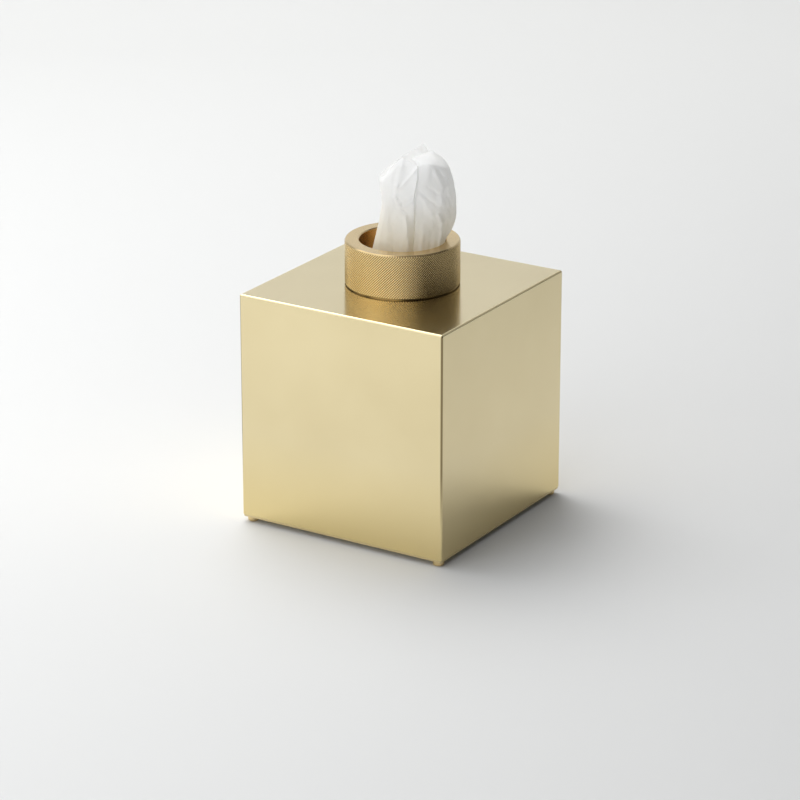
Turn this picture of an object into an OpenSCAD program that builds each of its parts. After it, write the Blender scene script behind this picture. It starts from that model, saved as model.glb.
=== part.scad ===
// Square brass tissue box cover with a knurled ring, its base and its tissues.
// The origin is on the floor, under the middle of the box, and +Z is up.

/* [Cover] */
// Width and depth of the square cover
cover_w = 130; // [115:1:170]
// Height of the cover, from its lower edge to its top face
cover_h = 129.6; // [115:0.2:180]
// Thickness of the cover's brass sheet
sheet_t = 1.5; // [1.2:0.1:2.5]
// Rounding of the cover's outer edges
edge_r = 1.2; // [0.6:0.1:2]

/* [Knurled ring] */
// Diameter of the bore that the tissue comes through
bore_d = 48; // [40:1:60]
// Wall of the ring, from the bore to the crests of the knurl
ring_wall = 8; // [7.5:0.5:12]
// Height of the ring above the cover's top face
ring_h = 25.5; // [16:0.5:40]
// Chamfer at the rim, outside and inside
rim_chamfer = 0.5; // [0.3:0.1:0.8]
// Number of diamonds round the knurl
knurl_count = 88; // [60:2:96]
// Depth of the knurl, from crest to valley
knurl_deep = 0.5; // [0.3:0.05:0.7]
// Height of the shadow groove at the ring's foot
groove_h = 0.6; // [0.4:0.1:1]
// Depth of the shadow groove
groove_deep = 0.8; // [0.6:0.1:1]
// Wall of the spigot that centres the ring in the cover
spigot_wall = 1.5; // [1.2:0.1:1.8]
// Radial clearance of the spigot in its hole
spigot_gap = 0.1; // [0.05:0.05:0.2]

/* [Ring screws] */
// Thread diameter of the four screws that hold the ring
ring_screw_d = 2.5; // [2:0.5:3]
// Length of thread inside the ring
ring_screw_grip = 6; // [4:0.5:10]

/* [Base plate] */
// Thickness of the plate that the cover stands on
base_t = 1.2; // [0.8:0.1:2]
// Step from the cover's faces in to the plate's edge
base_step = 0.3; // [0.1:0.1:0.8]

/* [Locating tray] */
// Thickness of the tray's sheet
tray_t = 0.8; // [0.6:0.1:1.2]
// Height of the tray's lips
lip_h = 8; // [5:0.5:15]
// Clearance between the lips and the cover's walls
tray_gap = 0.3; // [0.2:0.1:0.6]
// Length of each corner that is notched out of the lips
lip_notch = 12; // [9:0.5:20]

/* [Feet] */
// Diameter of a foot
foot_d = 6.4; // [5:0.2:8]
// Height of a foot
foot_h = 3.2; // [2.6:0.1:6]
// Rounding of a foot's lower edge
foot_round = 1.2; // [0.4:0.1:1.8]
// Distance from the tray's edges in to a foot's axis
foot_edge = 2.6; // [2.4:0.1:5]
// Thread diameter of the screw in each foot
foot_screw_d = 2; // [1.6:0.2:2.4]

/* [Tissues] */
// Free space between the pack of tissues and the tray's lips
pack_gap = 8.4; // [4:0.2:12]
// Free space between the pack of tissues and the cover's top
head_room = 21.3; // [16:0.1:30]
// Radius of the bend over the pack's upper corners
pack_bend = 40; // [25:1:44]
// Width of the slit where the two legs of the bent pack meet
pack_slit = 1.6; // [1:0.2:3]
// Height of the drawn tissue's peak above the ring
tissue_rise = 50; // [30:1:80]
// Turn of the drawn tissue about the vertical
tissue_turn = 32; // [0:1:359]

/* [Hidden] */
$fn = 64;

// Extra length that carries a cut clear through a face
cut = 1;
// Radial clearance round a screw's shank
screw_gap = 0.05;
// Height of a screw's head, and its radius, as shares of the thread
head_share = 0.6;
head_r_share = 0.95;
// Width across the flats of a screw's hexagon socket, as a share of the thread
key_share = 0.66;
// Depth of the socket as a share of the head's height
key_deep_share = 0.6;
// Screw positions round the ring and at the corners
quarter_turns = [45, 135, 225, 315];
// Thread left solid under each blind hole
blind_gap = 0.5;

bore_r = bore_d / 2;
ring_r = bore_r + ring_wall;
valley_r = ring_r - knurl_deep;
groove_r = ring_r - groove_deep;
spigot_r = bore_r + spigot_wall;
ring_screw_at = (spigot_r + groove_r) / 2;

base_z = foot_h;
cover_z = base_z + base_t;
cover_top_z = cover_z + cover_h;
cavity_w = cover_w - 2 * sheet_t;
ring_top_z = cover_top_z + ring_h;

tray_w = cavity_w - 2 * tray_gap;
tray_inside = tray_w - 2 * tray_t;
foot_at = tray_w / 2 - foot_edge;
floor_z = cover_z + tray_t;

pack_w = tray_inside - 2 * pack_gap;
pack_h = cover_h - sheet_t - tray_t - head_room;
pack_top_z = floor_z + pack_h;

brass = "#d8c48c";
ring_brass = "#c9ab68";
inner_brass = "#b59a5e";
paper = "#f2f1ee";

// A square with rounded corners, centred on the origin
module rounded_square(w, r) {
    square([w, w - 2 * r], center = true);
    square([w - 2 * r, w], center = true);
    for (sx = [-1, 1], sy = [-1, 1])
        translate([sx * (w / 2 - r), sy * (w / 2 - r)]) circle(r);
}

// A square block whose upright edges and top edges are rounded
module rounded_block(w, h, r) {
    flat = w - 2 * r;
    linear_extrude(h - r) rounded_square(w, r);
    linear_extrude(h) square(flat, center = true);
    for (turn = [0, 90, 180, 270]) rotate([0, 0, turn]) {
        translate([flat / 2, 0, h - r]) rotate([90, 0, 0]) cylinder(r = r, h = flat, center = true);
        translate([flat / 2, flat / 2, h - r]) sphere(r);
    }
}

// A socket-head screw: the head stands on z = 0 and the shank points up
module socket_screw(d, length) {
    head_h = d * head_share;
    difference() {
        union() {
            translate([0, 0, -head_h]) cylinder(r = d * head_r_share, h = head_h);
            cylinder(r = d / 2, h = length);
        }
        translate([0, 0, -head_h - cut])
            cylinder(r = d * key_share / sqrt(3), h = head_h * key_deep_share + cut, $fn = 6);
    }
}

// Children at the four screw places round the ring
module at_ring_screws() {
    for (turn = quarter_turns) rotate([0, 0, turn]) translate([ring_screw_at, 0, 0]) children();
}

// Children at the four corners where the feet stand
module at_corner(sx, sy) {
    translate([sx * foot_at, sy * foot_at, 0]) children();
}

module cover_shell() {
    color(brass) translate([0, 0, cover_z]) difference() {
        rounded_block(cover_w, cover_h, edge_r);
        translate([-cavity_w / 2, -cavity_w / 2, -cut])
            cube([cavity_w, cavity_w, cover_h - sheet_t + cut]);
        cylinder(r = spigot_r + spigot_gap, h = cover_h + cut);
        at_ring_screws() cylinder(r = ring_screw_d / 2 + screw_gap, h = cover_h + cut);
    }
}

// Height and step of the knurl: its diamonds are as tall as they are wide
knurl_h = ring_h - groove_h - rim_chamfer;
knurl_pitch = 2 * PI * ring_r / knurl_count;
knurl_rows = 2 * round(knurl_h / knurl_pitch);
knurl_cols = 2 * knurl_count;

// One ring of points at a height and a radius
function ring_points(r, z) =
    [for (i = [0 : knurl_cols - 1]) [r * cos(360 * i / knurl_cols), r * sin(360 * i / knurl_cols), z]];

// Radius of the knurled face: crests and valleys alternate like a chessboard
function knurl_r(i, j) =
    (j == 0 || j == knurl_rows) ? valley_r : ((i + j) % 2 == 0 ? ring_r : valley_r);

function knurl_row(j) = [
    for (i = [0 : knurl_cols - 1])
        let (a = 360 * i / knurl_cols, r = knurl_r(i, j))
            [r * cos(a), r * sin(a), groove_h + knurl_h * j / knurl_rows]
];

// Two triangles between rows j and j + 1, split along the valleys
function cell_faces(i, j, row) =
    let (
        n = (i + 1) % knurl_cols,
        a = row * knurl_cols + i,
        b = row * knurl_cols + n,
        c = a + knurl_cols,
        d = b + knurl_cols
    )
    (i + j) % 2 == 0 ? [[a, c, b], [b, c, d]] : [[a, c, d], [a, d, b]];

// The knurled column, solid inside, from the groove up to the rim
module knurled_column() {
    rows = [
        ring_points(groove_r, 0),
        ring_points(groove_r, groove_h),
        for (j = [0 : knurl_rows]) knurl_row(j),
        ring_points(valley_r - rim_chamfer, ring_h)
    ];
    points = [for (row = rows) each row, [0, 0, 0], [0, 0, ring_h]];
    last = len(rows) - 1;
    low = len(points) - 2;
    high = len(points) - 1;
    sides = [
        for (row = [0 : last - 1], i = [0 : knurl_cols - 1]) each cell_faces(i, row, row)
    ];
    caps = [
        for (i = [0 : knurl_cols - 1])
            let (n = (i + 1) % knurl_cols)
                each [[low, i, n], [high, last * knurl_cols + n, last * knurl_cols + i]]
    ];
    polyhedron(points = points, faces = concat(sides, caps), convexity = 6);
}

module knurled_ring() {
    hole_deep = ring_screw_grip + blind_gap;
    color(ring_brass) translate([0, 0, cover_top_z]) difference() {
        union() {
            knurled_column();
            translate([0, 0, -sheet_t]) cylinder(r = spigot_r, h = sheet_t + cut);
        }
        translate([0, 0, -sheet_t - cut]) cylinder(r = bore_r, h = ring_h + sheet_t + 2 * cut);
        translate([0, 0, ring_h - rim_chamfer])
            cylinder(r1 = bore_r, r2 = bore_r + rim_chamfer + cut, h = rim_chamfer + cut);
        at_ring_screws() translate([0, 0, -cut])
            cylinder(r = ring_screw_d / 2 + screw_gap, h = hole_deep + cut);
    }
}

module ring_screws() {
    color(inner_brass) at_ring_screws() translate([0, 0, cover_top_z - sheet_t])
        socket_screw(ring_screw_d, sheet_t + ring_screw_grip);
}

module base_plate() {
    color(inner_brass) translate([0, 0, base_z]) difference() {
        linear_extrude(base_t) rounded_square(cover_w - 2 * base_step, edge_r);
        for (sx = [-1, 1], sy = [-1, 1]) at_corner(sx, sy)
            translate([0, 0, -cut]) cylinder(r = foot_screw_d / 2 + screw_gap, h = base_t + 2 * cut);
    }
}

module locating_tray() {
    lip_l = tray_w - 2 * lip_notch;
    color(inner_brass) translate([0, 0, cover_z]) difference() {
        union() {
            linear_extrude(tray_t) rounded_square(tray_w, edge_r);
            for (turn = [0, 90, 180, 270]) rotate([0, 0, turn])
                translate([tray_w / 2 - tray_t, -lip_l / 2, 0]) cube([tray_t, lip_l, lip_h]);
        }
        for (sx = [-1, 1], sy = [-1, 1]) at_corner(sx, sy)
            translate([0, 0, -cut]) cylinder(r = foot_screw_d / 2 + screw_gap, h = tray_t + 2 * cut);
    }
}

// Half of a foot's section, from its axis out to the rounded lower edge
module foot_section() {
    r = foot_d / 2;
    square([r - foot_round, foot_h]);
    translate([0, foot_round]) square([r, foot_h - foot_round]);
    translate([r - foot_round, foot_round]) circle(foot_round);
}

foot_thread = foot_h - 2 * blind_gap;

module foot(sx, sy) {
    color(brass) at_corner(sx, sy) difference() {
        intersection() {
            rotate_extrude() foot_section();
            cylinder(r = foot_d, h = foot_h);
        }
        translate([0, 0, blind_gap]) cylinder(r = foot_screw_d / 2 + screw_gap, h = foot_h);
    }
}

module foot_front_left() { foot(-1, -1); }
module foot_front_right() { foot(1, -1); }
module foot_back_left() { foot(-1, 1); }
module foot_back_right() { foot(1, 1); }

module foot_screws() {
    color(inner_brass) for (sx = [-1, 1], sy = [-1, 1]) at_corner(sx, sy)
        translate([0, 0, floor_z]) mirror([0, 0, 1])
            socket_screw(foot_screw_d, tray_t + base_t + foot_thread);
}

// The pack of interfolded tissues, bent over into an arch with its two legs down
module tissue_pack() {
    half = pack_w / 2;
    leg = half - pack_slit / 2;
    color(paper) translate([0, pack_w / 2, floor_z]) rotate([90, 0, 0]) linear_extrude(pack_w)
        difference() {
            union() {
                translate([-half, 0]) square([pack_w, pack_h - pack_bend]);
                translate([pack_bend - half, 0]) square([pack_w - 2 * pack_bend, pack_h]);
                for (side = [-1, 1])
                    translate([side * (half - pack_bend), pack_h - pack_bend]) circle(pack_bend);
            }
            translate([-pack_slit / 2, -cut]) square([pack_slit, pack_h - leg + cut]);
        }
}

// The drawn tissue is a loop of points, drawn through rows from its top edge down to the pack.
// A point is [right, near] in hundredths of the bore's radius, seen from the tissue's front.
// In the three top rows it also has its height above the ring, in hundredths of the rise.
tissue_top = [
    [
        [48, -58, 99], [6, -50, 89], [-27, -33, 82], [-54, -12, 72], [-47, -2, 70], [-25, 4, 82],
        [-2, 2, 93], [15, 23, 91], [29, 39, 88], [37, 0, 88], [45, 4, 89], [52, -8, 91],
        [71, -21, 94], [87, -27, 91], [99, -31, 85], [83, -44, 84], [54, -46, 84]
    ],
    [
        [62, -58, 89], [12, -54, 79], [-24, -38, 74], [-54, -12, 68], [-48, 6, 66], [-26, 19, 76],
        [-10, 17, 86], [11, 31, 83], [30, 51, 83], [36, 25, 86], [43, 40, 90], [61, 48, 91],
        [84, 40, 88], [99, 23, 84], [109, 0, 79], [92, -35, 78], [50, -46, 78]
    ],
    [
        [73, -56, 76], [17, -54, 70], [-21, -40, 66], [-53, -12, 63], [-47, 12, 62], [-27, 25, 69],
        [-16, 27, 74], [2, 40, 72], [27, 58, 73], [34, 36, 77], [40, 51, 81], [60, 58, 81],
        [84, 48, 77], [103, 29, 72], [115, 2, 69], [96, -33, 69], [52, -46, 68]
    ]
];
tissue_rows = [
    [
        [71, -54], [19, -58], [-19, -42], [-51, -12], [-44, 17], [-27, 28], [-20, 32], [-2, 46],
        [21, 62], [27, 39], [34, 54], [58, 58], [86, 53], [108, 28], [120, 2], [101, -33],
        [54, -46]
    ],
    [
        [65, -54], [19, -58], [-19, -46], [-48, -12], [-41, 21], [-26, 30], [-15, 34], [4, 51],
        [20, 64], [27, 40], [33, 55], [56, 59], [86, 54], [108, 25], [123, 2], [103, -33],
        [54, -46]
    ],
    [
        [54, -54], [17, -59], [-21, -50], [-51, -17], [-44, 21], [-27, 35], [-8, 50], [9, 62],
        [20, 51], [27, 36], [33, 58], [52, 63], [85, 55], [102, 22], [120, 5], [98, -33],
        [50, -46]
    ],
    [
        [46, -54], [15, -59], [-25, -51], [-58, -17], [-50, 17], [-29, 38], [-8, 54], [7, 65],
        [19, 48], [25, 33], [32, 59], [50, 64], [82, 52], [93, 27], [112, 8], [88, -32], [44, -46]
    ],
    [
        [38, -54], [12, -59], [-27, -50], [-64, -12], [-54, 17], [-32, 39], [-10, 54], [4, 65],
        [17, 48], [23, 33], [29, 60], [46, 64], [72, 52], [86, 31], [96, 8], [78, -31], [38, -45]
    ],
    [
        [33, -52], [8, -56], [-25, -48], [-73, -8], [-60, 19], [-33, 38], [-12, 52], [4, 62],
        [15, 48], [21, 33], [27, 58], [42, 62], [58, 50], [71, 29], [83, 8], [67, -29], [33, -42]
    ],
    [
        [33, -52], [8, -54], [-25, -48], [-69, -8], [-58, 19], [-33, 38], [-12, 50], [4, 58],
        [15, 46], [21, 31], [27, 54], [42, 54], [58, 42], [67, 21], [75, 4], [67, -29], [33, -42]
    ],
    [
        [42, -58], [12, -62], [-29, -58], [-69, -12], [-62, 21], [-42, 46], [-17, 62], [8, 71],
        [23, 54], [29, 39], [35, 62], [50, 62], [67, 46], [75, 25], [83, 0], [75, -38], [42, -48]
    ],
    [
        [54, -80], [14, -91], [-41, -77], [-82, -15], [-80, 26], [-59, 62], [-26, 85], [8, 92],
        [26, 90], [35, 81], [47, 83], [59, 76], [80, 57], [94, 32], [100, 0], [88, -45], [61, -75]
    ],
    [
        [66, -101], [16, -116], [-55, -98], [-107, -19], [-104, 33], [-78, 79], [-35, 108],
        [8, 117], [31, 115], [42, 105], [58, 106], [73, 97], [100, 72], [118, 41], [125, 0],
        [110, -57], [75, -96]
    ],
    [
        [79, -123], [18, -141], [-68, -119], [-132, -23], [-128, 40], [-96, 96], [-44, 132],
        [8, 142], [35, 139], [50, 129], [68, 128], [87, 118], [120, 88], [141, 50], [150, 0],
        [132, -69], [89, -116]
    ]
];
// Heights of those rows above the ring, in hundredths of the rise
tissue_up = [56, 40, 24, 10];
// Heights of the others below the ring, in hundredths of the way down to the pack
tissue_down = [2, 29, 56, 79, 90, 96, 100];
// Middle of the hollow between the tissue's edges, and middle of its foot
tissue_hollow = [33, -12, 78];
tissue_foot = [8, 0];
// Steps that smooth the loop between two points, and between two rows
round_steps = 3;
down_steps = 2;
// Clearance between the tissue and the pack below it
tissue_gap = 0.3;
tissue_low_z = pack_top_z + tissue_gap;

function hundredths(p) = [p[0], -p[1]] * bore_r / 100;
function above(p, up) = [each hundredths(p), ring_top_z + tissue_rise * up / 100];
function below(p, down) = [each hundredths(p), ring_top_z - (ring_top_z - tissue_low_z) * down / 100];

tissue_net = [
    for (row = tissue_top) [for (p = row) above(p, p[2])],
    for (i = [0 : len(tissue_up) - 1]) [for (p = tissue_rows[i]) above(p, tissue_up[i])],
    for (i = [0 : len(tissue_down) - 1])
        [for (p = tissue_rows[i + len(tissue_up)]) below(p, tissue_down[i])]
];

// A point at the share t from b to c, on the smooth curve through a, b, c and d
function curve(a, b, c, d, t) =
    b + (c - a) * t / 2
    + (2 * a - 5 * b + 4 * c - d) * pow(t, 2) / 2
    + (3 * b - a - 3 * c + d) * pow(t, 3) / 2;

// A closed row with points added between its own
function smooth_loop(row) =
    let (n = len(row))
    [
        for (i = [0 : n - 1], k = [0 : round_steps - 1])
            curve(row[(i + n - 1) % n], row[i], row[(i + 1) % n], row[(i + 2) % n], k / round_steps)
    ];

// The rows with rows added between them, and the last one
function smooth_rows(rows) =
    let (last = len(rows) - 1)
    [
        for (i = [0 : last - 1], k = [0 : down_steps - 1])
            [
                for (j = [0 : len(rows[i]) - 1])
                    curve(
                        rows[max(i - 1, 0)][j], rows[i][j],
                        rows[i + 1][j], rows[min(i + 2, last)][j], k / down_steps
                    )
            ],
        rows[last]
    ];

module drawn_tissue() {
    rows = smooth_rows([for (row = tissue_net) smooth_loop(row)]);
    cols = len(rows[0]);
    last = len(rows) - 1;
    hollow = len(rows) * cols;
    points = [
        for (row = rows) each row,
        above(tissue_hollow, tissue_hollow[2]),
        below(tissue_foot, 100)
    ];
    sides = [
        for (row = [0 : last - 1], i = [0 : cols - 1])
            let (n = (i + 1) % cols, a = row * cols + i, b = row * cols + n)
                each [[a, b + cols, a + cols], [a, b, b + cols]]
    ];
    caps = [
        for (i = [0 : cols - 1])
            let (n = (i + 1) % cols)
                each [[n, i, hollow], [last * cols + i, last * cols + n, hollow + 1]]
    ];
    color(paper) rotate([0, 0, tissue_turn])
        polyhedron(points = points, faces = concat(sides, caps), convexity = 8);
}

cover_shell();
knurled_ring();
ring_screws();
base_plate();
locating_tray();
foot_front_left();
foot_front_right();
foot_back_left();
foot_back_right();
foot_screws();
tissue_pack();
drawn_tissue();
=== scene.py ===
import math

import bpy
import numpy as np
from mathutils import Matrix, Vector, noise


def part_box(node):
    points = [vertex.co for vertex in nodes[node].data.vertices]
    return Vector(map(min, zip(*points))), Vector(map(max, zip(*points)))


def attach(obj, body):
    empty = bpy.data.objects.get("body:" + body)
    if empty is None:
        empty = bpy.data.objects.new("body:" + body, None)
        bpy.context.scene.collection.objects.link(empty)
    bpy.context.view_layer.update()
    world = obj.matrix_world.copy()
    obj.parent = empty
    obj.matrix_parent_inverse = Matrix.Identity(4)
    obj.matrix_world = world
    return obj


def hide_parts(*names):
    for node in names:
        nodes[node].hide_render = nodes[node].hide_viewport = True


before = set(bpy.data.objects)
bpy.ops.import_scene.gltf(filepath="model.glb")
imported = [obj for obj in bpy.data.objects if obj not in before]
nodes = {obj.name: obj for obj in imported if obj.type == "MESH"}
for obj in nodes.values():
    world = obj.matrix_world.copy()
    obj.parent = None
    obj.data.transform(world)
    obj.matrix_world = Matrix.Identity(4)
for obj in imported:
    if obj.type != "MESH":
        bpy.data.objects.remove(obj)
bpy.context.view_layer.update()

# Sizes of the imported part, in metres
cover_low, cover_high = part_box("cover_shell")
plate_low, plate_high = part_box("base_plate")
ring_low, ring_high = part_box("knurled_ring")
width = cover_high.x - cover_low.x
ring_radius = ring_high.x

# The view of the photograph
VIEW_TURN = math.radians(31.81)
VIEW_TILT = math.radians(20.49)
VIEW_FAR = 15.312 * width
VIEW_LENS = 160.2
AIM = Vector((0, 0, plate_low.z + width / 2))
AIM_RIGHT = -0.0108 * width
AIM_UP = -0.0273 * width


def add_camera():
    back = Vector((
        math.sin(VIEW_TURN) * math.cos(VIEW_TILT),
        -math.cos(VIEW_TURN) * math.cos(VIEW_TILT),
        math.sin(VIEW_TILT),
    ))
    right = Vector((math.cos(VIEW_TURN), math.sin(VIEW_TURN), 0))
    up = back.cross(right)
    data = bpy.data.cameras.new("view")
    data.lens = VIEW_LENS
    data.sensor_width = 36
    data.clip_end = 100
    camera = bpy.data.objects.new("view", data)
    bpy.context.scene.collection.objects.link(camera)
    camera.location = AIM + back * VIEW_FAR + right * AIM_RIGHT + up * AIM_UP
    camera.rotation_euler = back.to_track_quat("Z", "Y").to_euler()
    bpy.context.scene.camera = camera


def new_material(name):
    material = bpy.data.materials.new(name)
    material.use_nodes = True
    return material, material.node_tree, material.node_tree.nodes["Principled BSDF"]


def add_node(tree, kind, **values):
    made = tree.nodes.new(kind)
    for key, value in values.items():
        setattr(made, key, value)
    return made


def ramp(tree, source, low, high, stops=(0.3, 0.7)):
    """Maps a grey value to a colour between low and high."""
    made = tree.nodes.new("ShaderNodeValToRGB")
    made.color_ramp.elements[0].position = stops[0]
    made.color_ramp.elements[0].color = (*low, 1)
    made.color_ramp.elements[1].position = stops[1]
    made.color_ramp.elements[1].color = (*high, 1)
    tree.links.new(source, made.inputs["Fac"])
    return made.outputs["Color"]


def spread(tree, source, low, high):
    """Maps a value from 0..1 to low..high."""
    made = tree.nodes.new("ShaderNodeMapRange")
    made.inputs["To Min"].default_value = low
    made.inputs["To Max"].default_value = high
    tree.links.new(source, made.inputs["Value"])
    return made.outputs["Result"]


def grain(tree, stretch, scale, detail=6):
    """Noise stretched along one axis: the lines of a brushed or turned face."""
    coords = tree.nodes.new("ShaderNodeTexCoord")
    mapping = tree.nodes.new("ShaderNodeMapping")
    mapping.inputs["Scale"].default_value = stretch
    tree.links.new(coords.outputs["Object"], mapping.inputs["Vector"])
    made = tree.nodes.new("ShaderNodeTexNoise")
    made.inputs["Scale"].default_value = scale
    made.inputs["Detail"].default_value = detail
    made.inputs["Roughness"].default_value = 0.6
    tree.links.new(mapping.outputs["Vector"], made.inputs["Vector"])
    return made.outputs["Fac"]


def bump(tree, shader, height, strength, distance):
    made = tree.nodes.new("ShaderNodeBump")
    made.inputs["Strength"].default_value = strength
    made.inputs["Distance"].default_value = distance
    tree.links.new(height, made.inputs["Height"])
    tree.links.new(made.outputs["Normal"], shader.inputs["Normal"])


# Fine lines of the brushed and turned faces: scale of their noise, and depth in metres
BRUSH_SCALE = 900
BRUSH_DEEP = 0.00002


def brass(name, low, high, rough, stretch, lacquer=0.0):
    """Satin brass: colour drifts between low and high, rough gives its range of roughness."""
    material, tree, shader = new_material(name)
    shader.inputs["Metallic"].default_value = 1.0
    shader.inputs["Coat Weight"].default_value = lacquer
    shader.inputs["Coat Roughness"].default_value = 0.07
    cloud = grain(tree, (1, 1, 1), 18, 3)
    tree.links.new(ramp(tree, cloud, low, high), shader.inputs["Base Color"])
    fine = grain(tree, stretch, BRUSH_SCALE)
    tree.links.new(spread(tree, fine, *rough), shader.inputs["Roughness"])
    bump(tree, shader, fine, 0.25, BRUSH_DEEP)
    return material


def axes(tree):
    """The place on the piece as separate X, Y and Z values."""
    coords = tree.nodes.new("ShaderNodeTexCoord")
    apart = tree.nodes.new("ShaderNodeSeparateXYZ")
    tree.links.new(coords.outputs["Object"], apart.inputs["Vector"])
    return apart.outputs["X"], apart.outputs["Y"], apart.outputs["Z"]


def compute(tree, operation, first, second=0.0):
    """One step of arithmetic on values or sockets."""
    made = add_node(tree, "ShaderNodeMath", operation=operation)
    for place, value in enumerate((first, second)):
        if isinstance(value, float):
            made.inputs[place].default_value = value
        else:
            tree.links.new(value, made.inputs[place])
    return made.outputs["Value"]


def between(tree, value, low, high, top=1.0):
    """0 at low, top at high, and held there outside."""
    made = tree.nodes.new("ShaderNodeMapRange")
    made.inputs["From Min"].default_value = low
    made.inputs["From Max"].default_value = high
    made.inputs["To Max"].default_value = top
    tree.links.new(value, made.inputs["Value"])
    return made.outputs["Result"]


def blend(tree, share, first, second):
    """Mixes two colours, given as sockets or as values."""
    made = add_node(tree, "ShaderNodeMix", data_type="RGBA")
    tree.links.new(share, made.inputs["Factor"])
    for name, value in (("A", first), ("B", second)):
        socket = [s for s in made.inputs if s.name == name and s.type == "RGBA"][0]
        if isinstance(value, tuple):
            socket.default_value = (*value, 1)
        else:
            tree.links.new(value, socket)
    return [s for s in made.outputs if s.type == "RGBA"][0]


# The rounded edges of the cover: where their mask begins and ends, inside its corners, in metres.
# The painted shade of the upright edges fades out over a height above the cover's foot, where the painted
# warm reflection near the floor begins.
EDGE_FROM = 0.0011
EDGE_TO = 0.0008
EDGE_ROUGH = 0.5
EDGE_SHADE_FOOT = 0.015
PAINTED_WARM_TALL = 0.05


def satin_cover():
    """Lacquered satin brass: painted shade darkens the upright edges, top edges matt, and a painted warm
    reflection near the floor.
    """
    material = brass("satin_brass", SATIN_LOW, SATIN_HIGH, (0.11, 0.20), (1, 1, 30), lacquer=0.5)
    tree = material.node_tree
    shader = tree.nodes["Principled BSDF"]
    x, y, z = axes(tree)
    x = compute(tree, "ABSOLUTE", x)
    y = compute(tree, "ABSOLUTE", y)
    # Painted shade: a dark line along the upright edges, fading out towards the foot.
    edge = between(tree, compute(tree, "ADD", x, y), width - EDGE_FROM, width - EDGE_TO)
    above = between(tree, z, cover_low.z + EDGE_SHADE_FOOT, cover_low.z + PAINTED_WARM_TALL)
    edge = compute(tree, "MULTIPLY", edge, above)
    out = compute(tree, "ADD", compute(tree, "MAXIMUM", x, y), z)
    corner = width / 2 + cover_high.z
    top_edge = between(tree, out, corner - EDGE_FROM, corner - EDGE_TO)
    smooth = shader.inputs["Roughness"].links[0].from_socket
    rough = compute(tree, "MAXIMUM", smooth, compute(tree, "MULTIPLY", top_edge, EDGE_ROUGH))
    tree.links.new(rough, shader.inputs["Roughness"])
    face = shader.inputs["Base Color"].links[0].from_socket
    # Painted warm reflection: the colour turns warmer towards the cover's foot, near the floor.
    low = between(tree, z, cover_low.z + PAINTED_WARM_TALL, cover_low.z)
    warm = blend(tree, low, face, SATIN_PAINTED_WARM)
    tree.links.new(blend(tree, edge, warm, EDGE_PAINTED_SHADE), shader.inputs["Base Color"])
    return material


# Height under the ring's chamfer that stays free of the knurl's colours, in metres
RIM_CLEAR = 0.0003


def turned_ring():
    """Turned brass: light crests, painted shade in the valleys and in the groove at the foot, and painted
    warm light in the bore.
    """
    material = brass("ring_brass", RING_LOW, RING_HIGH, (0.20, 0.28), (1, 1, 1), lacquer=0.05)
    tree = material.node_tree
    shader = tree.nodes["Principled BSDF"]
    x, y, z = axes(tree)
    square = compute(tree, "ADD", compute(tree, "MULTIPLY", x, x), compute(tree, "MULTIPLY", y, y))

    def within(first, second):
        """0 at the first radius, 1 at the second."""
        return between(tree, square, first**2, second**2)

    # Painted light: the bore's bright warm colour stands in for light thrown about inside it.
    inside = within(BORE + CHAMFER, BORE)
    # Painted shade in the knurl's valleys: they are coloured darker than the crests.
    valley_shade = within(ring_radius - 0.5 * KNURL_DEEP, ring_radius - KNURL_DEEP)
    knurled = within(ring_radius - 1.3 * KNURL_DEEP, ring_radius - 1.2 * KNURL_DEEP)
    rim = ring_high.z - CHAMFER
    below_rim = between(tree, z, rim - RIM_CLEAR, rim - 2 * RIM_CLEAR)
    knurled = compute(tree, "MULTIPLY", knurled, below_rim)
    face = shader.inputs["Base Color"].links[0].from_socket
    face = blend(tree, knurled, face, blend(tree, valley_shade, CREST_COLOUR, VALLEY_PAINTED_SHADE))
    # The groove at the ring's foot is cut in the mesh; its dark colour is painted shade.
    foot = cover_high.z + GROOVE_HIGH
    below_knurl = between(tree, z, foot + 0.0001, foot)
    above_spigot = between(tree, z, cover_high.z - 0.0002, cover_high.z)
    groove = compute(tree, "MULTIPLY", below_knurl, above_spigot)
    face = blend(tree, groove, face, GROOVE_PAINTED_SHADE)
    tree.links.new(blend(tree, inside, face, BORE_PAINTED_LIGHT), shader.inputs["Base Color"])
    return material


def stacked_paper():
    """The cut edges of the tissues show as fine lines along the sides of the pack."""
    material, tree, shader = new_material("pack_paper")
    lines = grain(tree, (1, 1, 60), 22, 4)
    tree.links.new(ramp(tree, lines, (0.78, 0.78, 0.775), (0.93, 0.93, 0.925)), shader.inputs["Base Color"])
    shader.inputs["Roughness"].default_value = 0.9
    shader.inputs["Specular IOR Level"].default_value = 0.1
    bump(tree, shader, lines, 0.6, 0.0004)
    return material


# Colours of the tissue, and the heights over and under the ring's rim between which it turns warm with
# painted light reflected from the ring
TISSUE_LOW = (0.97, 0.972, 0.975)
TISSUE_HIGH = (0.99, 0.99, 0.985)
TISSUE_PAINTED_BOUNCE = (0.97, 0.935, 0.83)
PAINTED_WARM_OVER = 0.024
PAINTED_WARM_UNDER = 0.004


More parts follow.
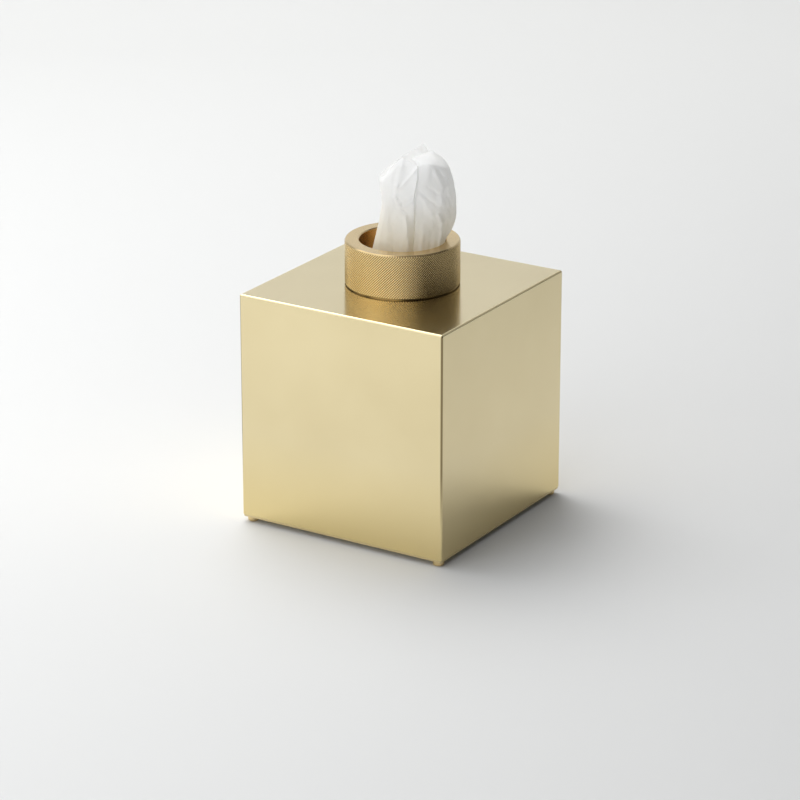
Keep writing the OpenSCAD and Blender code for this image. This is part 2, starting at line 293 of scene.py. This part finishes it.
def tissue_paper():
    """Thin soft paper: light shines through it, and its lower part turns warm with painted light reflected
    from the ring.
    """
    material, tree, shader = new_material("tissue")
    tone = grain(tree, (1, 1, 0.4), 60, 3)
    plain = ramp(tree, tone, TISSUE_LOW, TISSUE_HIGH)
    height = axes(tree)[2]
    # Painted reflected light: the tissue turns warmer towards the ring's rim.
    near_ring = between(tree, height, ring_high.z + PAINTED_WARM_OVER, ring_high.z - PAINTED_WARM_UNDER)
    colour = blend(tree, near_ring, plain, TISSUE_PAINTED_BOUNCE)
    tree.links.new(colour, shader.inputs["Base Color"])
    shader.inputs["Roughness"].default_value = 0.85
    shader.inputs["Specular IOR Level"].default_value = 0.15
    bump(tree, shader, grain(tree, (1, 1, 0.5), 420, 8), 0.35, 0.0004)
    behind = tree.nodes.new("ShaderNodeBsdfTranslucent")
    tree.links.new(colour, behind.inputs["Color"])
    mixed = tree.nodes.new("ShaderNodeMixShader")
    mixed.inputs["Fac"].default_value = 0.5
    tree.links.new(shader.outputs["BSDF"], mixed.inputs[1])
    tree.links.new(behind.outputs["BSDF"], mixed.inputs[2])
    tree.links.new(mixed.outputs["Shader"], tree.nodes["Material Output"].inputs["Surface"])
    return material


def dress(name, material):
    data = nodes[name].data
    data.materials.clear()
    data.materials.append(material)


# The paper of floor and backdrop: left and right near the box, behind it, and far behind it. Lighter at the
# left and darker at the right is a painted light falloff.
STAGE_LEFT_PAINTED_LIGHT = (0.885, 0.885, 0.877)
STAGE_RIGHT_PAINTED_SHADE = (0.57, 0.57, 0.565)
STAGE_BACK = (0.66, 0.66, 0.65)
STAGE_FAR = (0.74, 0.74, 0.73)


def distance_along(tree, way):
    """How far the place on the piece lies in a direction."""
    coords = tree.nodes.new("ShaderNodeTexCoord")
    made = add_node(tree, "ShaderNodeVectorMath", operation="DOT_PRODUCT")
    made.inputs[1].default_value = way
    tree.links.new(coords.outputs["Object"], made.inputs[0])
    return made.outputs["Value"]


def add_stage():
    """A floor that sweeps up into a backdrop behind the box."""
    half = 5.0
    behind = 1.9
    bend = 0.8
    tall = 3.0
    steps = 24
    profile = [(-6.0, 0.0), (behind - bend, 0.0)]
    for k in range(1, steps + 1):
        a = math.pi / 2 * k / steps
        profile.append((behind - bend + bend * math.sin(a), bend - bend * math.cos(a)))
    profile.append((behind, tall))
    across = Vector((math.cos(VIEW_TURN), math.sin(VIEW_TURN), 0))
    away = Vector((-math.sin(VIEW_TURN), math.cos(VIEW_TURN), 0))
    verts = []
    for far, high in profile:
        for side in (-half, half):
            verts.append(across * side + away * far + Vector((0, 0, high)))
    faces = [(2 * k, 2 * k + 1, 2 * k + 3, 2 * k + 2) for k in range(len(profile) - 1)]
    mesh = bpy.data.meshes.new("stage")
    mesh.from_pydata(verts, [], faces)
    mesh.shade_smooth()
    sweep = bpy.data.objects.new("stage", mesh)
    bpy.context.scene.collection.objects.link(sweep)
    material, tree, shader = new_material("stage_paper")
    # Painted light falloff: the floor is lighter at the left and darker at the right.
    tone = between(tree, distance_along(tree, across), -0.42, 0.42)
    paint = ramp(tree, tone, STAGE_LEFT_PAINTED_LIGHT, STAGE_RIGHT_PAINTED_SHADE, (0, 1))
    depth = distance_along(tree, away)
    paint = blend(tree, between(tree, depth, 0.05, 1.0, 0.9), paint, STAGE_BACK)
    paint = blend(tree, between(tree, depth, 1.2, 1.7), paint, STAGE_FAR)
    tree.links.new(paint, shader.inputs["Base Color"])
    shader.inputs["Roughness"].default_value = 0.9
    shader.inputs["Specular IOR Level"].default_value = 0.1
    mesh.materials.append(material)


def add_key():
    """The softbox, turned towards the box."""
    data = bpy.data.lights.new("key", "AREA")
    data.shape = "RECTANGLE"
    data.size, data.size_y = KEY_SIZE
    data.energy = KEY_POWER
    lamp = bpy.data.objects.new("key", data)
    bpy.context.scene.collection.objects.link(lamp)
    lamp.location = KEY_PLACE
    lamp.rotation_euler = (Vector(KEY_PLACE) - Vector(KEY_AIM)).to_track_quat("Z", "Y").to_euler()


# Colours of the brass: the cover, the ring, the feet, and the plate with the tray and screws
SATIN_LOW = (0.775, 0.655, 0.385)
SATIN_HIGH = (0.825, 0.705, 0.425)
# The next two colours are painted light and shade: a warm reflection near the cover's foot, and shade on
# its upright edges.
SATIN_PAINTED_WARM = (0.80, 0.65, 0.32)
EDGE_PAINTED_SHADE = (0.28, 0.21, 0.10)
RING_LOW = (0.63, 0.475, 0.25)
RING_HIGH = (0.69, 0.525, 0.28)
CREST_COLOUR = (0.80, 0.605, 0.30)
# The next two colours are painted shade, in the knurl's valleys and in the groove at the ring's foot.
VALLEY_PAINTED_SHADE = (0.10, 0.07, 0.03)
GROOVE_PAINTED_SHADE = (0.28, 0.20, 0.09)
# Painted warm light in the bore.
BORE_PAINTED_LIGHT = (1.0, 0.72, 0.36)
FOOT_LOW = (0.74, 0.57, 0.29)
FOOT_HIGH = (0.80, 0.62, 0.33)
PLATE_LOW = (0.66, 0.54, 0.30)
PLATE_HIGH = (0.72, 0.60, 0.34)
# The key light, a softbox above and behind to the left
KEY_PLACE = (-1.0, 0.6, 1.9)
KEY_AIM = (0, 0, 0.08)
KEY_SIZE = (1.7, 1.7)
KEY_POWER = 32.5
# The room: its dimmest light, and bright parts with their turn, height and half width in degrees,
# seen from the box, and their strength
ROOM_BASE = 0.05
ROOM = (
    (-170, 10, 30, 1.1),
    (-95, 15, 30, 1.6),
    (-150, 60, 30, 1.2),
    (0, 90, 40, 0.25),
)
ROOM_COLOUR = (0.97, 0.985, 1.0, 1)


def light_room():
    """A dim room with large soft bright parts, and the key light."""
    world = bpy.data.worlds.new("room")
    bpy.context.scene.world = world
    world.use_nodes = True
    tree = world.node_tree
    sky = tree.nodes["Background"]
    sky.inputs["Color"].default_value = ROOM_COLOUR
    coords = tree.nodes.new("ShaderNodeTexCoord")
    total = None
    for turn, height, wide, strength in ROOM:
        a, b, w = (math.radians(v) for v in (turn, height, wide))
        way = add_node(tree, "ShaderNodeVectorMath", operation="DOT_PRODUCT")
        way.inputs[1].default_value = (math.cos(a) * math.cos(b), math.sin(a) * math.cos(b), math.sin(b))
        tree.links.new(coords.outputs["Generated"], way.inputs[0])
        part = add_node(tree, "ShaderNodeMapRange", interpolation_type="SMOOTHSTEP")
        part.inputs["From Min"].default_value = math.cos(1.3 * w)
        part.inputs["From Max"].default_value = math.cos(0.7 * w)
        part.inputs["To Max"].default_value = strength
        tree.links.new(way.outputs["Value"], part.inputs["Value"])
        added = add_node(tree, "ShaderNodeMath", operation="ADD")
        added.inputs[1].default_value = ROOM_BASE
        if total:
            tree.links.new(total, added.inputs[1])
        tree.links.new(part.outputs["Result"], added.inputs[0])
        total = added.outputs["Value"]
    tree.links.new(total, sky.inputs["Strength"])
    add_key()


# The ring as turned and knurled, in metres. The cross cut is the height that the grooves of the
# second hand leave of the knurl, as a share
KNURL_COUNT = 140
KNURL_DEEP = 0.00031
CROSS_CUT = 0.45
CHAMFER = 0.0005
GROOVE_HIGH = 0.0006
GROOVE_DEEP = 0.0008
BORE = 0.024
SPIGOT_WALL = 0.0015


def ring_mesh():
    """The ring with its diamond knurl at its real pitch, its chamfers and its spigot."""
    columns = 4 * KNURL_COUNT
    tall = ring_high.z - cover_high.z
    knurl_tall = tall - GROOVE_HIGH - CHAMFER
    steps = 4 * round(knurl_tall / (2 * math.pi * ring_radius / KNURL_COUNT))
    turn = np.arange(columns) * 2 * math.pi / columns
    round_way = np.stack([np.cos(turn), np.sin(turn)], axis=-1)
    column, level = np.meshgrid(np.arange(columns), np.arange(1, steps))
    main = 1 - abs((column - level) % 4 - 2) / 2
    cross = np.where((column + level) % 4 == 0, CROSS_CUT, 1)
    knurl = ring_radius - KNURL_DEEP * (1 - np.minimum(main, cross))
    foot = ring_radius - GROOVE_DEEP
    spigot = cover_high.z - ring_low.z
    profile = [
        (BORE, -spigot), (BORE + SPIGOT_WALL, -spigot), (BORE + SPIGOT_WALL, 0),
        (foot, 0), (foot, GROOVE_HIGH),
        (ring_radius - KNURL_DEEP, GROOVE_HIGH),
    ]
    first, last = len(profile) - 1, len(profile) - 1 + steps
    profile += [(knurl[k], GROOVE_HIGH + knurl_tall * (k + 1) / steps) for k in range(steps - 1)]
    profile += [
        (ring_radius - KNURL_DEEP, tall - CHAMFER),
        (ring_radius - KNURL_DEEP - CHAMFER, tall), (BORE + CHAMFER, tall), (BORE, tall - CHAMFER),
    ]
    points = []
    for radius, high in profile:
        flat = round_way * np.reshape(radius, (-1, 1))
        points.append(np.column_stack([flat, np.full(columns, high + cover_high.z)]))
    rows = len(profile)
    faces = []
    smooth = []
    for row in range(rows):
        over = (row + 1) % rows
        for i in range(columns):
            n = (i + 1) % columns
            a, b = row * columns + i, row * columns + n
            c, d = over * columns + i, over * columns + n
            if not first <= row < last:
                faces.append((a, b, d, c))
                smooth.append(True)
                continue
            crease = (i + row - first) % 2 == 0
            faces += [(a, b, d), (a, d, c)] if crease else [(a, b, c), (b, d, c)]
            smooth += [False, False]
    mesh = bpy.data.meshes.new("ring")
    mesh.from_pydata(np.concatenate(points).tolist(), [], faces)
    mesh.polygons.foreach_set("use_smooth", smooth)
    mesh.set_sharp_from_angle(angle=math.radians(30))
    return mesh


# The drawn tissue as a control net. A column runs down the sheet from its top edge. Its first
# three points are (right, near, up) in millimetres, seen from the front of the photograph and
# counted from the middle of the ring's rim. Then come (right, near) at each of the levels below.
TISSUE_LEVELS = (28, 20, 12, 5, -1, -14, -27, -38)
TISSUE_NET = (
    (
        ((11.5, -14, 49.5), (15, -14, 44.5), (17.5, -13.5, 38)),
        ((17, -13), (15.5, -13), (13, -13), (11, -13), (9, -13), (8, -12.5), (8, -12.5), (10, -14)),
    ),
    (
        ((1.4, -12, 44.3), (3, -13, 39.5), (4, -13, 35)),
        ((4.5, -14), (4.5, -14), (4, -14.2), (3.5, -14.2), (3, -14.2), (2, -13.5), (2, -13), (3, -15)),
    ),
    (
        ((-6.4, -6, 40.2), (-5.9, -7.5, 37), (-5.2, -9, 33)),
        (
            (-4.5, -10), (-4.5, -11), (-5, -12), (-6, -12.2),
            (-6.5, -12), (-6, -11.5), (-6, -11.5), (-7, -14),
        ),
    ),
    (
        ((-12.6, -2.4, 35.7), (-12.9, -2, 34), (-12.7, -2.4, 31.5)),
        (
            (-12.3, -3), (-11.4, -3), (-12.3, -4), (-13.8, -4),
            (-15.3, -3), (-17.6, -2), (-16.5, -2), (-16.5, -3),
        ),
    ),
    (
        ((-11.2, -0.5, 35), (-11.6, 1.5, 33), (-11.2, 3, 31)),
        ((-10.6, 4), (-9.8, 5), (-10.6, 5), (-12, 4), (-13, 4), (-14.5, 4.5), (-14, 4.5), (-15, 5)),
    ),
    (
        ((-6, 1, 41.2), (-6.3, 4.5, 38), (-6.4, 6, 34.5)),
        ((-6.4, 6.8), (-6.2, 7.2), (-6.4, 8.4), (-7, 9), (-7.6, 9.4), (-8, 9), (-8, 9), (-10, 11)),
    ),
    (
        ((-0.5, 0.5, 46.4), (-2.4, 4, 43), (-3.8, 6.5, 37)),
        ((-4.8, 7.8), (-3.6, 8.2), (-1.8, 12), (-1.8, 13), (-2.4, 13), (-3, 12.5), (-3, 12), (-4, 15)),
    ),
    (
        ((3.7, 5.5, 45.4), (2.6, 7.5, 41.5), (0.6, 9.6, 36)),
        ((-0.6, 11), (1, 12.2), (2.2, 15), (1.6, 15.6), (1, 15.6), (1, 15), (1, 14), (2, 17)),
    ),
    (
        ((8.2, 10, 44.4), (8.3, 12.3, 41.5), (7.7, 13.8, 36.3)),
        ((6.4, 14.6), (6.1, 14.8), (6, 13.4), (5.8, 12.8), (5.2, 12.8), (4, 12), (4, 11), (6, 13)),
    ),
    (
        ((8.6, 6.5, 44.2), (8.6, 8.5, 41.2), (8.1, 10.4, 36)),
        ((6.7, 11.2), (6.4, 11.4), (6.4, 11), (6.1, 10.6), (5.5, 10.6), (5, 10), (5, 9), (7, 10)),
    ),
    (
        ((5, -3, 45), (9.4, 9.5, 44.9), (8.8, 12.2, 40.5)),
        ((7.1, 13), (6.8, 13.3), (6.8, 13.8), (6.4, 14.2), (5.9, 14.4), (6, 14), (6, 13), (8, 15)),
    ),
    (
        ((9.5, -6, 45.9), (14.6, 11.5, 45.6), (14.4, 13.8, 40.5)),
        ((13.8, 13.8), (13.4, 14.2), (12.6, 15.2), (12, 15.4), (11, 15.4), (10, 15), (10, 13), (12, 15)),
    ),
    (
        ((16.6, -8, 47.4), (20.1, 9.5, 44), (20.2, 11.6, 38.5)),
        (
            (20.6, 12.8), (20.6, 13), (20.3, 13.2), (19.8, 13.2),
            (18, 13.8), (14.6, 12.6), (14, 10), (16, 11),
        ),
    ),
    (
        ((20.3, -6.5, 45.3), (23.8, 5.5, 41.8), (24.8, 7, 36)),
        ((25.8, 6.8), (26, 6), (25, 6.2), (23.6, 8), (21.6, 8.4), (17.4, 7.2), (16, 5), (18, 6)),
    ),
    (
        ((23.8, -5.5, 42.4), (26.1, 0, 39.3), (27.5, 0.5, 34.4)),
        ((28.7, 0.5), (29.6, 0.5), (28.9, 1.2), (26.6, 2), (23.3, 2.4), (20.4, 2), (18, 1), (20, 0)),
    ),
    (
        ((20, -10, 42), (22, -8.5, 39), (23, -8, 34.5)),
        ((24.2, -8), (24.6, -8), (23.4, -8), (21, -7.8), (18.6, -7.5), (16, -7), (16, -7), (18, -9)),
    ),
    (
        ((11, -11, 42), (12, -11, 39), (12.5, -11, 34)),
        ((13, -11), (13, -11), (12, -11), (10.5, -11), (9, -10.8), (8, -10), (8, -10), (10, -11.5)),
    ),
    (
        ((3.5, -10, 38), (3.5, -10.2, 36), (4, -10.4, 32)),
        ((4, -10.8), (4, -11), (3.5, -11), (3, -11), (2.5, -10.8), (1.5, -10), (1.5, -9.5), (3, -11)),
    ),
    (
        ((-3.5, -5.5, 36), (-3.5, -5.8, 34), (-3.2, -6, 31)),
        ((-3, -6.5), (-3, -7), (-3, -7.6), (-3.5, -8), (-4, -8), (-4, -8), (-4, -7.5), (-5, -9)),
    ),
    (
        ((-6.5, -0.5, 33), (-6.8, 0, 31), (-6.8, 0.5, 29)),
        ((-6.8, 0.5), (-6.4, 0.5), (-7, 0), (-8, 0), (-9, 0), (-9.5, 0.5), (-9, 0.5), (-10, 0)),
    ),
    (
        ((-1, 3, 34), (-1.5, 4, 32), (-2, 4.5, 30)),
        ((-2, 5), (-1.6, 5.5), (-1.5, 6.5), (-2, 7.5), (-2.8, 8), (-3.5, 8), (-3, 8), (-4, 9)),
    ),
    (
        ((6, -1, 36), (5.5, 0, 34), (5, 1, 31)),
        ((4.5, 1.5), (4, 2), (3.5, 3), (3, 3.5), (2.5, 3.5), (2, 3.5), (2, 3), (3, 4)),
    ),
    (
        ((13, 3, 36), (13, 4, 34), (13, 5, 31)),
        ((12.6, 6), (12, 7), (11, 8.5), (10.4, 9.6), (9.6, 10), (9, 9), (9, 8), (10, 9)),
    ),
    (
        ((19.5, -1, 35), (20, 0, 33), (20.4, 1, 30)),
        ((20.4, 1.5), (20, 2), (18.6, 3), (16.8, 4), (14.6, 4), (12.5, 3.4), (12.4, 3), (14, 3)),
    ),
)
# The sheet's lower part on the pack, row by row: reach, height and depth of its pleats
FLARE = (
    (20, -43, 2), (26, -46, 3), (32, -46.6, 3), (36, -45.0, 2.5),
    (31, -43.4, 3), (24, -41.6, 3), (28, -40.0, 2.5), (33, -39.6, 2),
)
# The first column of the net's inner side, which lies behind the front one
INNER_FIRST = 17
# Columns where the sheet is creased, from 0, smooth, to 1, a sharp fold
CREASES = {3: 0.5, 4: 0.8, 6: 0.3, 7: 0.4, 8: 0.9, 9: 0.7, 10: 0.9, 12: 0.3, 14: 0.3}
# Columns where the top is folded back over a ledge at its second point
LEDGE = {10: 0.6, 11: 0.85, 12: 0.85, 13: 0.6}

# Folds pressed into the front: from (right, up) to (right, up), half width and height. The first two
# values scale the height and the half width of all of them
FOLD_HEIGHT = 1.6
FOLD_WIDTH = 0.8
FOLDS = (
    ((0.2, 46), (-3.3, 33), 1.7, 0.7),
    ((-3.3, 33), (-4.1, 26.6), 1.5, 0.8),
    ((-4.1, 26.6), (-0.2, 18.1), 1.3, 1.0),
    ((8, 43.5), (-1.5, 31.9), 0.8, 0.6),
    ((6, 27.8), (-1.1, 23.1), 0.7, -0.5),
    ((5.5, 25.5), (-0.4, 21), 0.7, 0.4),
    ((1.5, 17), (3.4, -2), 1.4, 0.7),
    ((-9, 20), (-8.5, 0), 1.6, 0.5),
    ((-5.5, 10), (-5, -4), 1.2, -0.5),
    ((17.5, 42), (22.4, 32.4), 1.2, 0.7),
    ((22.4, 32.4), (21.5, 24), 1.4, 0.6),
    ((19.5, 42), (24.5, 34), 1.1, -0.7),
    ((13.6, 33.6), (18.9, 29.7), 0.8, -0.6),
    ((9, 31), (18, 23.3), 1.0, -0.5),
    ((10.5, 28), (16, 18), 1.8, 0.6),
    ((19.6, 17.5), (21.8, 12.5), 0.9, 0.9),
    ((21.8, 12.5), (20, 0), 1.0, 1.0),
    ((22.4, 17), (24, 3), 1.3, -0.7),
    ((11, 12), (10.5, -3), 1.5, 0.5),
    ((15.5, 9), (14.5, -3), 1.2, -0.5),
    ((24.5, 27), (27.5, 18), 1.0, -0.5),
)


def eased(points, sharp, steps):
    """A smooth curve through points along axis 0, with a corner where sharp is 1."""
    gap = np.diff(points, axis=0)
    size = np.maximum(np.linalg.norm(gap, axis=-1, keepdims=True), 1e-9)
    way = gap / size
    inner = (way[:-1] * size[1:] + way[1:] * size[:-1]) / (size[1:] + size[:-1])
    mean = np.concatenate([way[:1], inner, way[-1:]])
    keep = sharp[..., None]
    ahead = ((1 - keep[:-1]) * mean[:-1] + keep[:-1] * way) * size
    behind = ((1 - keep[1:]) * mean[1:] + keep[1:] * way) * size
    rows = []
    for k in range(steps):
        t = k / steps
        rows.append(
            (2 * t**3 - 3 * t**2 + 1) * points[:-1]
            + (t**3 - 2 * t**2 + t) * ahead
            + (3 * t**2 - 2 * t**3) * points[1:]
            + (t**3 - t**2) * behind
        )
    mixed = np.stack(rows, axis=1)
    joined = mixed.reshape(-1, *points.shape[1:])
    return np.concatenate([joined, points[-1:]])


def tissue_net():
    """The control net with the sheet's lower part, which lies in folds on the pack."""
    net = np.array([
        list(top) + [(*point, level) for point, level in zip(low, TISSUE_LEVELS)]
        for top, low in TISSUE_NET
    ], float)
    last = net[:, -1]
    middle = np.array((2.0, 0.0))
    out = last[:, :2] - middle
    out /= np.linalg.norm(out, axis=1, keepdims=True)
    inner = np.arange(len(net)) >= INNER_FIRST
    pleat = np.where(np.arange(len(net)) % 2 == 0, 1.0, -1.0)
    rows = []
    for reach, up, wave in FLARE:
        far = reach - 4 * inner + wave * pleat
        high = up + 2.5 * inner + 0.5 * pleat
        rows.append(np.column_stack([middle + out * far[:, None], high]))
    return np.concatenate([net, np.stack(rows, axis=1)], axis=1)


def soft_ridge(x, y, z):
    """Rounded ridges, longer along the sheet than across it, with smaller ones over them."""
    large = abs(noise.noise((x / 6, y / 6, z / 13)))
    return 0.55 - large * 1.6 + 0.35 * noise.noise((x / 2.5, y / 2.5, z / 4))


def crease_gap(x, y, z):
    """0 on the creases between the cells of a random pattern, and more inside the cells."""
    distances = noise.voronoi((x / 8, y / 8, z / 14))[0]
    return distances[1] - distances[0]


def patchy(x, y, z):
    """Where the thin creases are strong and where they are weak."""
    return noise.noise((x / 9, y / 9, z / 12))


def crumple(points):
    """Adds the pressed folds, and small random creases that run mostly along the sheet."""
    right, near, up = points[..., 0], points[..., 1], points[..., 2]
    front = np.clip((near + 3) / 5, 0, 1)
    shift = np.zeros_like(near)
    for start, end, wide, high in FOLDS:
        (x0, z0), (x1, z1) = start, end
        run = np.hypot(x1 - x0, z1 - z0)
        along = ((right - x0) * (x1 - x0) + (up - z0) * (z1 - z0)) / run
        aside = ((right - x0) * (z1 - z0) - (up - z0) * (x1 - x0)) / run
        past = along - np.clip(along, 0, run)
        shift += FOLD_HEIGHT * high * front * np.exp(-(aside**2 + past**2) / (FOLD_WIDTH * wide) ** 2)
    places = points.reshape(-1, 3).tolist()
    small, apart, patch = (
        np.array([pattern(*place) for place in places]).reshape(near.shape)
        for pattern in (soft_ridge, crease_gap, patchy)
    )
    # Thin creases in patches, weaker at the front, where the folds are
    thin = (1.1 - 0.7 * front) * np.clip(0.45 + 2.5 * patch, 0, 1) * (0.35 - np.exp(-apart / 0.12))
    # None of the small ones where the sheet lies on the pack
    steady = np.clip((up + 44) / 10, 0, 1)
    moved = points.copy()
    moved[..., 1] += shift + (0.8 * small + thin * np.clip(near / 3, -1, 1)) * steady
    moved[..., 0] += (0.3 * small + 0.4 * thin) * steady
    return moved


# Points between two columns and between two rows of the net
ACROSS = 10
DOWN = 12


def tissue_grid():
    """The sheet's points: the net, eased into a smooth surface with its creases, and crumpled."""
    net = tissue_net()
    columns, rows = net.shape[:2]
    sharp = np.zeros((columns, rows))
    for column, value in CREASES.items():
        sharp[column, :] = value
    wide = eased(net, sharp, ACROSS)
    edge = np.zeros((columns, rows))
    for column, value in LEDGE.items():
        edge[column, 1] = value
    place = np.arange(len(wide)) / ACROSS
    fold = np.stack([np.interp(place, np.arange(columns), edge[:, r]) for r in range(rows)])
    tall = eased(np.swapaxes(wide, 0, 1), fold, DOWN)
    return crumple(np.swapaxes(tall, 0, 1))


def from_view(grid):
    """Turns (right, near, up) in millimetres from the ring's rim into the part's frame."""
    right, near, up = (grid[..., k] / 1000 for k in range(3))
    s, c = math.sin(VIEW_TURN), math.cos(VIEW_TURN)
    return np.stack([right * c + near * s, right * s - near * c, up + ring_high.z], axis=-1)


def grid_mesh(name, points):
    """A mesh of quads over a grid of points."""
    columns, rows = points.shape[:2]
    number = np.arange(columns * rows).reshape(columns, rows)
    faces = np.stack(
        [number[:-1, :-1], number[:-1, 1:], number[1:, 1:], number[1:, :-1]], axis=-1
    ).reshape(-1, 4)
    mesh = bpy.data.meshes.new(name)
    mesh.from_pydata(points.reshape(-1, 3).tolist(), [], faces.tolist())
    mesh.shade_smooth()
    mesh.validate()
    return mesh


bpy.context.scene.view_settings.view_transform = "Standard"
add_camera()
add_stage()
light_room()

satin = satin_cover()
ring_brass = turned_ring()
plate = brass("plate_brass", PLATE_LOW, PLATE_HIGH, (0.25, 0.35), (1, 20, 1))
dress("cover_shell", satin)
dress("knurled_ring", ring_brass)
ring = bpy.data.objects.new("ring_collar", ring_mesh())
bpy.context.scene.collection.objects.link(ring)
ring.data.materials.append(ring_brass)
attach(ring, "cover")
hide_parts("knurled_ring")
for part in ("base_plate", "locating_tray", "ring_screws", "foot_screws"):
    dress(part, plate)
foot_brass = brass("foot_brass", FOOT_LOW, FOOT_HIGH, (0.20, 0.28), (1, 1, 20))
for part in ("foot_front_left", "foot_front_right", "foot_back_left", "foot_back_right"):
    dress(part, foot_brass)
paper = tissue_paper()
sheet = bpy.data.objects.new("drawn_sheet", grid_mesh("drawn_sheet", from_view(tissue_grid())))
bpy.context.scene.collection.objects.link(sheet)
sheet.data.materials.append(paper)
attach(sheet, "cover")
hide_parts("drawn_tissue")
dress("tissue_pack", stacked_paper())
